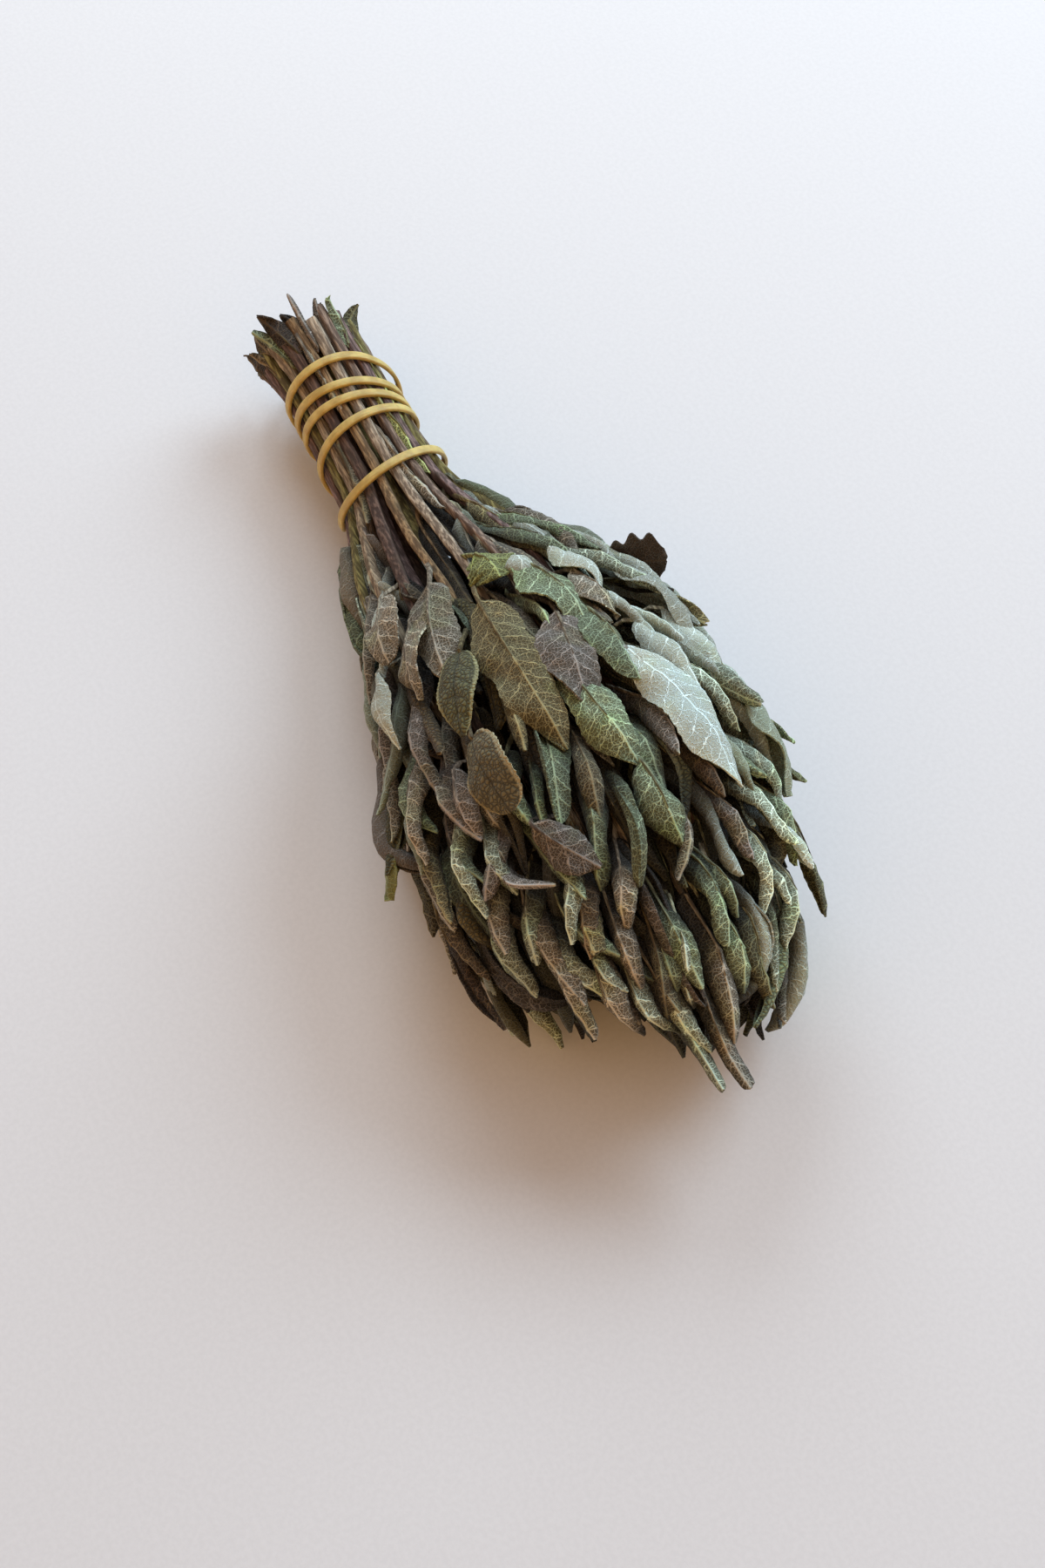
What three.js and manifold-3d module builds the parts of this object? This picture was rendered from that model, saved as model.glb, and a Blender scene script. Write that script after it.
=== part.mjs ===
// A dried bunch of garden sage, lying on its side. The sprigs stand side by side in the neck,
// where a rubber band is wound round their stems, and fan out into a broom of leaves.
// Millimetres, +Z up. +X runs from the cut stem ends to the leaf tips, and the origin is the
// middle of the footprint, on the surface that the bunch rests on.
import * as THREE from "three";
import Module from "manifold-3d";

const wasm = await Module();
wasm.setup();

// ---- Driving dimensions ----
// The bunch's outline: at each station along it, how far its flanks stand out on the -Y side and
// on the +Y side of the neck's line, and the heights of its top and its underside.
const OUTLINE = [
  [0, 15, 12.5, 30.5, 1.5],
  [12, 13, 12.4, 30, 4],
  [24, 12.4, 12.4, 29.7, 4.8],
  [40, 13, 13.2, 30.2, 4],
  [54, 14, 15, 31.5, 2.8],
  [66, 18.5, 18.5, 34.5, 1.4],
  [80, 25, 27, 39.5, 0.4],
  [97, 31.5, 36.5, 46.5, 0],
  [115, 36.5, 42, 52, 0],
  [135, 40.5, 43.5, 56, 0],
  [152, 43.5, 43.5, 57.5, 0],
  [166, 43, 43, 56, 0],
  [180, 40, 40, 52, 0],
  [194, 34, 35, 46, 0],
  [207, 26, 26, 38, 0],
  [220, 16, 15, 28, 0],
];
const FARTHEST_TIP = 205; // station of the leaf tips on the bunch's line
const TIP_SKEW = 13; // the +Y flank reaches this much farther, the -Y flank as much less
const TIP_DROP = 7; // and so with the underside and the top
const UNEVEN_ENDS = 6; // how much the cut ends, and the leaf tips, differ from sprig to sprig
const STEM_SIDE = 2.4; // sage stems are square
const STEM_BENDS = [20, 40, 54, 66, 80, 100, 132]; // stations
const LEAF_LENGTH = [30, 39];
const LEAF_HALF_WIDTH = 5.5;
// How wide a leaf is along its length, from its base at 0 to its tip at 1.
const LEAF_OUTLINE = [
  [0, 0.2],
  [0.3, 0.95],
  [0.72, 0.9],
  [1, 0.12],
];
const LEAF_THICKNESS = 1.8; // along the midrib of a dried leaf, with its margins rolled in
const LEAF_ROLL = [0.1, 0.6]; // radians about its midrib
const LEAF_LEAN = [0.1, 0.4]; // to one side, as a share of the room there
const LEAF_RISE = [0.5, 1]; // outwards, as a share of the ring's depth
const LEAF_SHIFT = 0.6; // along the stem, as a share of the distance from leaf to leaf
const CLEARANCE = 0.3; // between one sprig and the next
const BAND_WIDTH = 2.2;
const BAND_THICKNESS = 1;

// The sprigs stand in three rings about the bunch's line. Each ring keeps to the room between an
// inner and an outer share of the bunch's radius, with its stems at one share of it in the neck
// and nearer the inside in the head, under their leaves.
const RINGS = [
  { name: "inner", count: 4, from: 0, to: 0.34, neck: 0.21, head: 0.12, leaves: 3, firstLeaf: 130 },
  { name: "middle", count: 12, from: 0.34, to: 0.67, neck: 0.53, head: 0.45, leaves: 4, firstLeaf: 98 },
  { name: "outer", count: 20, from: 0.67, to: 1, neck: 0.86, head: 0.77, leaves: 6, firstLeaf: 64 },
];
const SPREAD = [50, 100]; // between these stations the stems draw in under the leaves
const PRESSED = [50, 120]; // between these stations the round underside turns flat
const LEAF_COLOURS = [0x7d8068, 0x6b6649, 0x6a5a45, 0x8c917c, 0x5c5a3f];
const RUBBER_COLOUR = 0xc9a95a;

const clamp = THREE.MathUtils.clamp;
const mix = THREE.MathUtils.lerp;
const smoothstep = THREE.MathUtils.smoothstep;

// An even spread of values from 0 to 1, different for each pair of whole numbers.
function vary(i, k) {
  const x = i * 0.6180339887 + k * 0.7548776662;
  return x - Math.floor(x);
}

// ---- Room inside the bunch ----
const outline = new THREE.CubicInterpolant(
  OUTLINE.map((row) => row[0]),
  OUTLINE.flatMap((row) => row.slice(1)),
  4,
);

function extents(station) {
  const [left, right, top, bottom] = outline.evaluate(clamp(station, 0, OUTLINE.at(-1)[0]));
  return { left, right, top, bottom, middle: (top + bottom) / 2 };
}

function radius(station) {
  const { left, right, top, middle } = extents(station);
  return (left + right + 2 * (top - middle)) / 4;
}

// The point at a station, a share of the way across and a share of the way up, where the flanks
// are at -1 and 1. Lying on a surface presses the underside of the head flat.
function place(station, across, up) {
  const { left, right, top, bottom, middle } = extents(station);
  const pressed = smoothstep(station, ...PRESSED);
  const down = mix(up, Math.sin((Math.PI / 2) * up), pressed);
  const z = up > 0 ? mix(middle, top, up) : mix(middle, bottom, -down);
  return new THREE.Vector3(station, (across > 0 ? right : left) * across, z);
}

// The same, from millimetres out from the bunch's line at an angle about it, and millimetres aside.
function placeAt(station, angle, out, aside) {
  const across = out * Math.cos(angle) - aside * Math.sin(angle);
  const up = out * Math.sin(angle) + aside * Math.cos(angle);
  return place(station, across / radius(station), up / radius(station));
}

// ---- Solids ----
// A solid drawn through a row of cross-sections, each with as many corners, in their order
// anticlockwise when seen from ahead.
function loft(sections, closed) {
  const corners = sections[0].length;
  const last = (sections.length - 1) * corners;
  const faces = [];
  for (let here = 0; here < (closed ? last + 1 : last); here += corners) {
    const next = (here + corners) % (last + corners);
    for (let k = 0; k < corners; k++) {
      const j = (k + 1) % corners;
      faces.push(here + k, here + j, next + k, here + j, next + j, next + k);
    }
  }
  for (let k = 2; k < corners && !closed; k++) {
    faces.push(0, k, k - 1, last, last + k - 1, last + k);
  }
  return new wasm.Manifold(
    new wasm.Mesh({
      numProp: 3,
      vertProperties: new Float32Array(sections.flat().flatMap((point) => point.toArray())),
      triVerts: new Uint32Array(faces),
    }),
  );
}

function toMesh(name, solid, material) {
  const { vertProperties, triVerts } = solid.getMesh();
  const geometry = new THREE.BufferGeometry()
    .setAttribute("position", new THREE.BufferAttribute(vertProperties, 3))
    .setIndex(new THREE.BufferAttribute(triVerts, 1));
  geometry.computeVertexNormals();
  const mesh = new THREE.Mesh(geometry, material);
  mesh.name = name;
  return mesh;
}

// How far out from the bunch's line a ring's stems are.
function stemOut(ring, station) {
  return mix(ring.neck, ring.head, smoothstep(station, ...SPREAD)) * radius(station);
}

// A square stem, from the cut end to the last leaf.
function stem(sprig) {
  const stations = [sprig.cut, ...STEM_BENDS, sprig.end - LEAF_LENGTH[0] + 2];
  return loft(
    stations.map((station) =>
      [0, 1, 2, 3].map((corner) => {
        const direction = sprig.turn + (corner * Math.PI) / 2;
        const point = placeAt(station, sprig.angle, stemOut(sprig.ring, station), 0);
        const reach = STEM_SIDE * Math.SQRT1_2;
        point.y += reach * Math.cos(direction);
        point.z += reach * Math.sin(direction);
        return point;
      }),
    ),
  );
}

// A leaf leaves its stem, leans outwards and to one side, and turns about its midrib, which is a
// keel along its back. It stays in its sprig's part of the ring, so that no sprig meets another.
function leaf(sprig, index) {
  const { ring, angle, number } = sprig;
  const hand = index % 2 ? 1 : -1;
  const length = mix(...LEAF_LENGTH, vary(number, index));
  const shift = index < ring.leaves - 1 ? LEAF_SHIFT * (vary(index, number) - 0.5) : 0;
  const base = mix(ring.firstLeaf, sprig.end - length, (index + shift) / (ring.leaves - 1));
  const roll = hand * mix(...LEAF_ROLL, vary(number + index, 5));
  const lean = hand * mix(...LEAF_LEAN, vary(index, number + 3));
  const rise = mix(...LEAF_RISE, vary(index + 2, number));
  const wedge = Math.tan(Math.PI / ring.count);
  return loft(
    LEAF_OUTLINE.map(([along, wide]) => {
      const station = base + length * along;
      const outMost = ring.to * radius(station) - CLEARANCE;
      const risen = rise * Math.min(1, 2 * along) ** 0.7;
      const out = mix(stemOut(ring, station), outMost - LEAF_THICKNESS, risen);
      const room = out * wedge - CLEARANCE;
      const side = lean * along * room;
      const most = (room - Math.abs(side)) / (Math.cos(roll) + Math.abs(Math.sin(roll)) * wedge);
      const half = wide * Math.min(LEAF_HALF_WIDTH, most);
      return [
        [0, wide * LEAF_THICKNESS],
        [half, 0],
        [-half, 0],
      ].map(([a, b]) => {
        const cornerOut = out + b * Math.cos(roll) + a * Math.sin(roll);
        const cornerAside = side + a * Math.cos(roll) - b * Math.sin(roll);
        const fit = Math.min(1, outMost / Math.hypot(cornerOut, cornerAside));
        return placeAt(station, angle, fit * cornerOut, fit * cornerAside);
      });
    }),
  );
}

// One sprig: a stem with its leaves, which grew as one piece.
function makeSprig(ring, ringIndex, index) {
  const number = ringIndex * 20 + index;
  const angle = ((index + 0.5 * (ringIndex % 2)) / ring.count) * 2 * Math.PI - Math.PI / 2;
  const tip = FARTHEST_TIP + ring.neck * (TIP_SKEW * Math.cos(angle) - TIP_DROP * Math.sin(angle));
  const sprig = {
    ring,
    number,
    angle,
    cut: UNEVEN_ENDS * vary(number, 1),
    end: tip - UNEVEN_ENDS * vary(number, 2),
    turn: angle + Math.PI / 4 + 0.5 * (vary(number, 3) - 0.5),
  };
  let grown = stem(sprig);
  for (let i = 0; i < ring.leaves; i++) grown = grown.add(leaf(sprig, i));
  // Where the leaves shut in a hollow between them, it is filled: its walls have a volume below 0.
  const [solid] = grown.decompose().filter((shell) => shell.volume() > 0);
  const material = new THREE.MeshStandardMaterial({
    color: LEAF_COLOURS[number % LEAF_COLOURS.length],
    roughness: 0.9,
    metalness: 0,
  });
  return toMesh(`sprig_${ring.name}_${String(index + 1).padStart(2, "0")}`, solid, material);
}

const bunch = new THREE.Group();
RINGS.forEach((ring, ringIndex) => {
  for (let i = 0; i < ring.count; i++) bunch.add(makeSprig(ring, ringIndex, i));
});

// ---- Rubber band ----
// One closed flat loop, wound five times round the neck. It passes the +Y side and the -Y side in
// turn, at these stations, and comes back to its start underneath, across its own turns.
const BAND_STATIONS = [23.5, 18.5, 29, 24, 33, 29, 36, 39.5, 49.5, 54.5];
const BAND_LIFT = BAND_THICKNESS + CLEARANCE;
const BAND_STEPS = 120;

function bandPoint(step) {
  const count = BAND_STATIONS.length;
  const halfTurn = (((step + BAND_STEPS) % BAND_STEPS) / BAND_STEPS) * count;
  const passed = Math.floor(halfTurn);
  const t = halfTurn - passed;
  const [a, b, c, d] = [-1, 0, 1, 2].map((k) => BAND_STATIONS[(passed + k + count) % count]);
  const station = b + 0.5 * t * (c - a + t * (2 * a - 5 * b + 4 * c - d + t * (3 * (b - c) + d - a)));
  const angle = Math.PI * halfTurn;
  const late = halfTurn < 5 ? halfTurn + count : halfTurn;
  const lift = BAND_LIFT * (smoothstep(late, 9, 9.2) - smoothstep(late, 10, 10.3));
  const outward = new THREE.Vector3(0, Math.cos(angle), Math.sin(angle));
  const point = place(station, Math.cos(angle), Math.sin(angle));
  return { point: point.addScaledVector(outward, CLEARANCE + lift), outward };
}

const bandSections = Array.from({ length: BAND_STEPS }, (_, step) => {
  const { point, outward } = bandPoint(step);
  const forward = bandPoint(step + 1).point.sub(bandPoint(step - 1).point).normalize();
  const across = forward.cross(outward).normalize();
  return [
    [0, -0.5],
    [1, -0.5],
    [1, 0.5],
    [0, 0.5],
  ].map(([out, side]) =>
    point
      .clone()
      .addScaledVector(outward, out * BAND_THICKNESS)
      .addScaledVector(across, side * BAND_WIDTH),
  );
});
const rubber = new THREE.MeshStandardMaterial({ color: RUBBER_COLOUR, roughness: 0.55, metalness: 0 });
bunch.add(toMesh("rubber_band", loft(bandSections, true), rubber));

// The footprint's middle becomes the origin.
const box = new THREE.Box3().setFromObject(bunch);
bunch.position.set(-(box.min.x + box.max.x) / 2, -(box.min.y + box.max.y) / 2, -box.min.z);

export default bunch;
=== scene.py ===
# A dried bunch of garden sage, lying on a pale table: square woody stems held by a rubber band,
# and the netted, curled leaves that fan out from them. The script works in millimetres along the
# bunch and turns them into the frame's metres as each piece is made.
import math
import random

import bpy
import numpy as np
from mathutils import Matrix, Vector


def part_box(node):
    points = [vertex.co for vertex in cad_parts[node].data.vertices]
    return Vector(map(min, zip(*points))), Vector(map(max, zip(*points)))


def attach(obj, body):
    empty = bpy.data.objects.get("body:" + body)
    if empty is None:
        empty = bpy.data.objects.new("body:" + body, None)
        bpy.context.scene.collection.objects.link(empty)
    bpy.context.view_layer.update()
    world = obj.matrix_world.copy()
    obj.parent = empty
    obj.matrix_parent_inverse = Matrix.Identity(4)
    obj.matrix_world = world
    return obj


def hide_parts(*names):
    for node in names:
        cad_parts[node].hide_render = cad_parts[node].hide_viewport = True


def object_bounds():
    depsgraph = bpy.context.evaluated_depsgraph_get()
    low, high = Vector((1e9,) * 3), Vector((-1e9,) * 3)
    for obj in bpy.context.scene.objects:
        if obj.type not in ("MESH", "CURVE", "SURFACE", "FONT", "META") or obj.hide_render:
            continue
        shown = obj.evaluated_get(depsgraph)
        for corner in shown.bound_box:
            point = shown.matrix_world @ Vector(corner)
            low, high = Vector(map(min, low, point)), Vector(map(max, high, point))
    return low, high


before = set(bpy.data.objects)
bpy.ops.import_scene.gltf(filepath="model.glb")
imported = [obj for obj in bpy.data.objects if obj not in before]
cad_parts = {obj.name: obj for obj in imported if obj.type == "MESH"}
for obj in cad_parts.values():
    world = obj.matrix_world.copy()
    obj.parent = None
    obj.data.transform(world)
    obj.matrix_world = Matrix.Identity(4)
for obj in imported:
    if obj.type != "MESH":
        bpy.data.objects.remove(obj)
cad_box = [list(corner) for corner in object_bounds()]

# ---- Camera ----
# It looks down on the head from beyond the leaf tips, so that the cut ends are farthest away.
AZIMUTH = math.radians(64)
ELEVATION = math.radians(62)
DISTANCE = 0.49
aim = Vector((0.0315, -0.0075, 0.020))
flat = math.cos(ELEVATION)
towards = Vector((math.sin(AZIMUTH) * flat, -math.cos(AZIMUTH) * flat, math.sin(ELEVATION)))


def add_object(name, data):
    """A new object in the scene."""
    made = bpy.data.objects.new(name, data)
    bpy.context.scene.collection.objects.link(made)
    return made


camera = add_object("camera", bpy.data.cameras.new("camera"))
camera.data.lens = 50
camera.data.sensor_width = 36
camera.location = aim + DISTANCE * towards
camera.rotation_euler = (-towards).to_track_quat("-Z", "Y").to_euler()
bpy.context.scene.camera = camera

# ---- Stems ----
# Each sprig has one square, woody stem. The stems stand in three rings about the bunch's line,
# pressed together in the neck, and spread towards the head, where their leaves hide them.
MM = 0.001
# Stations along the bunch, and there the reach of its -Y flank and its +Y flank from the neck's
# line, and the heights of its top and its underside.
OUTLINE = np.array([
    [0, 15, 12.5, 30.5, 1.5],
    [12, 13, 12.4, 30, 4],
    [24, 12.4, 12.4, 29.7, 4.8],
    [40, 13, 13.2, 30.2, 4],
    [54, 14, 15, 31.5, 2.8],
    [66, 18.5, 18.5, 34.5, 1.4],
    [80, 25, 27, 39.5, 0.4],
    [97, 31.5, 36.5, 46.5, 0],
    [115, 36.5, 42, 52, 0],
    [135, 40.5, 43.5, 56, 0],
    [152, 43.5, 43.5, 57.5, 0],
    [166, 43, 43, 56, 0],
    [180, 40, 40, 52, 0],
    [194, 34, 35, 46, 0],
    [207, 26, 26, 38, 0],
    [220, 16, 15, 28, 0],
])
RINGS = [
    {"name": "inner", "count": 4, "neck": 0.21, "head": 0.12, "rim": 0.45, "first_leaf": 118},
    {"name": "middle", "count": 12, "neck": 0.55, "head": 0.36, "rim": 0.76, "first_leaf": 86},
    {"name": "outer", "count": 20, "neck": 0.89, "head": 0.62, "rim": 1.0, "first_leaf": 66},
]
STEM_BROWNS = [
    (128, 108, 94), (160, 146, 128), (134, 110, 80), (92, 72, 62), (150, 134, 112),
    (126, 118, 74), (116, 96, 92),
]
STEM_THICKNESS = 2.4
PRESSED = (50, 120)  # between these stations the round underside turns flat
BAND_GAP = 0.3
BAND_THICKNESS = 1.0
LOWEST_TURN = 54.5  # the station of the band's lowest turn on the -Y side


def smooth(x, xs, ys):
    """The smooth curve through the points (xs, ys), read at x."""
    slopes = np.gradient(ys, xs, axis=0)
    i = np.clip(np.searchsorted(xs, x, side="right") - 1, 0, len(xs) - 2)
    step = (xs[i + 1] - xs[i])[..., None]
    t = (np.asarray(x, float) - xs[i])[..., None] / step
    start = (2 * t**3 - 3 * t**2 + 1) * ys[i] + (t**3 - 2 * t**2 + t) * step * slopes[i]
    return start + (3 * t**2 - 2 * t**3) * ys[i + 1] + (t**3 - t**2) * step * slopes[i + 1]


def ease(x, low, high):
    """0 below low, 1 above high, and a smooth rise between."""
    t = np.clip((x - low) / (high - low), 0, 1)
    return t * t * (3 - 2 * t)


def outline_at(station):
    """The reach of both flanks and the heights of the top and the underside, at a station."""
    return np.moveaxis(smooth(np.clip(station, 0, 220), OUTLINE[:, 0], OUTLINE[:, 1:]), -1, 0)


def in_bunch(station, across, up):
    """Points at stations along the bunch, and shares of the way to its flanks and to its top."""
    left, right, top, bottom = outline_at(station)
    middle = (top + bottom) / 2
    pressed = ease(station, *PRESSED)
    down = (1 - pressed) * up + pressed * np.sin(np.pi / 2 * np.clip(up, -1, 1))
    y = np.where(across > 0, right, left) * across
    z = middle + np.where(up > 0, (top - middle) * up, (middle - bottom) * down)
    return np.stack([station + 0 * y, y, z], -1)


def polar(station, share, angle):
    """The same, from a share of the bunch's radius and an angle about its line."""
    return in_bunch(station, share * np.cos(angle), share * np.sin(angle))


def share_of_radius(points):
    """How far out points lie, as a share of the bunch's radius there."""
    left, right, top, bottom = outline_at(points[..., 0])
    across = points[..., 1] / np.where(points[..., 1] > 0, right, left)
    return np.hypot(across, (2 * points[..., 2] - top - bottom) / (top - bottom))


def vary(i, k):
    """An even spread of values from 0 to 1, different for each pair of whole numbers."""
    return (i * 0.6180339887 + k * 0.7548776662) % 1


def colour(red, green, blue):
    """A colour as screens write it, from 0 to 255, in linear light."""
    parts = [part / 255 for part in (red, green, blue)]
    return tuple(p / 12.92 if p < 0.04045 else ((p + 0.055) / 1.055) ** 2.4 for p in parts)


def unit(vectors):
    """The same directions, each of length 1."""
    return vectors / np.maximum(np.linalg.norm(vectors, axis=-1, keepdims=True), 1e-9)


# The millimetres' zero in the frame: the farthest cut end, and the neck's line, which lies one
# flank, one gap and the band's thickness in from the band's lowest side on Y.
reach = outline_at(LOWEST_TURN)[0] + BAND_GAP + BAND_THICKNESS
neck_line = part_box("rubber_band")[0].y + reach * MM
zero = np.array([cad_box[0][0], neck_line, 0])

sprigs = []
for ring_index, ring in enumerate(RINGS):
    for index in range(ring["count"]):
        number = ring_index * RINGS[-1]["count"] + index
        angle = (index + 0.5 * (ring_index % 2)) / ring["count"] * 2 * np.pi - np.pi / 2
        tip = 200 + 12 * ring["neck"] * np.cos(angle - 1.2)
        sprigs.append({
            "node": f"sprig_{ring['name']}_{index + 1:02d}",
            "ring": ring,
            "number": number,
            "angle": angle,
            "cut": 6 * vary(number, 1),
            "end": tip - 6 * vary(number, 2),
        })


def stem_share(ring, station):
    """How far out a ring's stems stand: they are pressed together towards the leafy head."""
    return ring["neck"] + (ring["head"] - ring["neck"]) * ease(station, 60, 130)


def stem_path(sprig):
    """The middle of a stem, every 3 mm up to its last leaf, with the slight wander of a grown one,
    which is freer past the neck."""
    stations = np.arange(sprig["cut"], sprig["end"] - 26, 3.0)
    points = polar(stations, stem_share(sprig["ring"], stations), sprig["angle"])
    loose = 0.25 + 1.3 * ease(stations, 58, 110)
    for axis in (1, 2):
        phase = 2 * np.pi * vary(sprig["number"], axis + 6)
        wave = np.sin(stations / (9 + 5 * vary(sprig["number"], axis)) + phase)
        points[:, axis] += loose * (0.6 * wave + 0.5 * np.sin(stations / 23 + 2 * phase))
    return points


def above_table(height, least):
    """Heights as they are, but for those near the table, which are pressed up to stay above it."""
    return least + np.logaddexp(0, 3 * (height - least)) / 3


class Growth:
    """One sprig as it is grown: the paths of its stem and leaf stalks, and its leaf blades."""

    def __init__(self):
        self.count = 0
        self.points, self.edges, self.faces, self.kinds = [], [], [], []
        self.thickness, self.facing, self.tint, self.leaf_mm = [], [], [], []

    def add(self, points, thickness, facing, tint, leaf_mm):
        """New points with their attributes, and the index of the first of them."""
        first, n = self.count, len(points)
        self.count += n
        self.points.append(points)
        self.thickness.append(np.broadcast_to(thickness, n))
        self.facing.append(np.broadcast_to(facing, (n, 3)))
        self.tint.append(np.broadcast_to(tint, (n, 4)))
        self.leaf_mm.append(np.broadcast_to(leaf_mm, (n, 3)))
        return first

    def path(self, points, thickness, facing, tint):
        """A stem or a stalk: its middle, thickness and colour, and the way one side of it faces."""
        first = self.add(points, thickness, facing, (*tint, 1), 0)
        here = np.arange(first, self.count - 1)
        self.edges.append(np.stack([here, here + 1], -1))

    def blade(self, over, under, leaf_mm, tint, kind):
        """A leaf blade: its upper and lower skins as two like grids, closed round its margin."""
        points = np.concatenate([over.reshape(-1, 3), under.reshape(-1, 3)])
        tint = np.tile(tint.reshape(-1, 4), (2, 1))
        first = self.add(points, 1, 0, tint, np.tile(leaf_mm.reshape(-1, 3), (2, 1)))
        shift = len(points) // 2
        grid = first + np.arange(shift).reshape(over.shape[:2])
        a, b, c, d = grid[:-1, :-1], grid[1:, :-1], grid[1:, 1:], grid[:-1, 1:]
        rim = np.concatenate([grid[0, :-1], grid[:-1, -1], grid[-1, :0:-1], grid[:0:-1, 0]])
        after = np.roll(rim, -1)
        sides = (
            [a, b, c, d],
            [a + shift, d + shift, c + shift, b + shift],
            [rim, after, after + shift, rim + shift],
        )
        faces = np.concatenate([np.stack(corners, -1).reshape(-1, 4) for corners in sides])
        self.faces.append(faces)
        self.kinds.append(np.full(len(faces), kind))

    def mesh(self, name, materials):
        """All of it as one mesh, in metres, with its attributes."""
        points = np.concatenate(self.points) * MM + zero
        faces = np.concatenate(self.faces) if self.faces else np.zeros((0, 4), int)
        made = bpy.data.meshes.new(name)
        made.from_pydata(points.tolist(), np.concatenate(self.edges).tolist(), faces.tolist())
        for material in materials:
            made.materials.append(material)
        if self.faces:
            made.polygons.foreach_set("material_index", np.concatenate(self.kinds).astype(np.int32))
        for label, kind, field, values in (
            ("thickness", "FLOAT", "value", self.thickness),
            ("facing", "FLOAT_VECTOR", "vector", self.facing),
            ("tint", "FLOAT_COLOR", "color", self.tint),
            ("leaf_mm", "FLOAT_VECTOR", "vector", self.leaf_mm),
        ):
            attribute = made.attributes.new(label, kind, "POINT")
            attribute.data.foreach_set(field, np.concatenate(values).astype(np.float32).ravel())
        made.update()
        return made


class Value:
    """One output of a node. Arithmetic on it adds Math nodes to its tree."""

    def __init__(self, tree, socket):
        self.tree = tree
        self.socket = socket

    def node(self, kind, inputs, output=0, **settings):
        """A new node: its settings first, then the values or links of its sockets."""
        made = self.tree.nodes.new(kind)
        for name, setting in settings.items():
            setattr(made, name, setting)
        for name, value in inputs.items():
            if isinstance(value, Value):
                self.tree.links.new(value.socket, made.inputs[name])
            else:
                made.inputs[name].default_value = value
        return Value(self.tree, made.outputs[output])

    def math(self, operation, *values):
        return self.node("ShaderNodeMath", dict(enumerate(values)), operation=operation)

    def __add__(self, other):
        return self.math("ADD", self, other)

    def __sub__(self, other):
        return self.math("SUBTRACT", self, other)

    def __rsub__(self, other):
        return self.math("SUBTRACT", other, self)

    def __mul__(self, other):
        return self.math("MULTIPLY", self, other)

    def __truediv__(self, other):
        return self.math("DIVIDE", self, other)

    def __abs__(self):
        return self.math("ABSOLUTE", self)

    def rise(self, low, high):
        """0 below low, 1 above high, and a smooth rise between."""
        ends = {"Value": self, "From Min": low, "From Max": high}
        return self.node("ShaderNodeMapRange", ends, interpolation_type="SMOOTHSTEP")

    def noise(self, vector, scale, detail=3, roughness=0.55):
        looks = {"Vector": vector, "Scale": scale, "Detail": detail, "Roughness": roughness}
        return self.node("ShaderNodeTexNoise", looks)

    def attribute(self, name, output):
        return self.node("ShaderNodeAttribute", {}, output, attribute_name=name)

    def mix(self, share, first, second, blend_type):
        sockets = {0: share, 6: first, 7: second}
        return self.node("ShaderNodeMix", sockets, 2, data_type="RGBA", blend_type=blend_type)

    def blend(self, first, second):
        """Two colours mixed by this value."""
        return self.mix(self, first, second, "MIX")

    def scaled(self, vector):
        """This vector, each part times the part of another."""
        return self.node("ShaderNodeVectorMath", {0: self, 1: vector}, operation="MULTIPLY")

    def lit(self, light):
        """This colour under a light of another colour."""
        return self.mix(1.0, self, light, "MULTIPLY")


def sweep_tree():
    """Nodes that draw out each loose path of a mesh into a bar, and leave its faces as they are."""
    tree = bpy.data.node_groups.new("bars_along_paths", "GeometryNodeTree")
    start = Value(tree, None)
    given = {}
    for name in ("Geometry", "Width", "Height", "Rounding", "Material"):
        kind = name if name in ("Geometry", "Material") else "Float"
        tree.interface.new_socket(name, in_out="INPUT", socket_type="NodeSocket" + kind)
        given[name] = start.node("NodeGroupInput", {}, name)
    tree.interface.new_socket("Geometry", in_out="OUTPUT", socket_type="NodeSocketGeometry")

    sides = start.node("GeometryNodeInputMeshEdgeNeighbors", {})
    loose = start.node("FunctionNodeCompare", {2: sides, 3: 0}, data_type="INT", operation="EQUAL")
    paths = start.node("GeometryNodeMeshToCurve", {"Mesh": given["Geometry"], "Selection": loose})
    named = "GeometryNodeInputNamedAttribute"
    facing = start.node(named, {"Name": "facing"}, "Attribute", data_type="FLOAT_VECTOR")
    thickness = start.node(named, {"Name": "thickness"}, "Attribute", data_type="FLOAT")
    paths = {"Curve": paths, "Normal": facing}
    faced = start.node("GeometryNodeSetCurveNormal", paths, mode="FREE")
    size = {"Width": given["Width"], "Height": given["Height"]}
    section = start.node("GeometryNodeCurvePrimitiveQuadrilateral", size)
    corners = {"Curve": section, "Radius": given["Rounding"], "Count": 2}
    rounded = start.node("GeometryNodeFilletCurve", corners, mode="POLY")
    bars = {"Curve": faced, "Profile Curve": rounded, "Scale": thickness, "Fill Caps": True}
    bars = {"Geometry": start.node("GeometryNodeCurveToMesh", bars), "Material": given["Material"]}
    bars = start.node("GeometryNodeSetMaterial", bars)
    blades = {"Geometry": given["Geometry"], "Selection": loose}
    blades = start.node("GeometryNodeDeleteGeometry", blades, domain="EDGE", mode="ALL")
    joined = start.node("GeometryNodeJoinGeometry", {0: bars})
    tree.links.new(blades.socket, joined.socket.node.inputs[0])
    real = start.node("GeometryNodeRealizeInstances", {"Geometry": joined})
    tree.links.new(real.socket, tree.nodes.new("NodeGroupOutput").inputs["Geometry"])
    return tree


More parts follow.
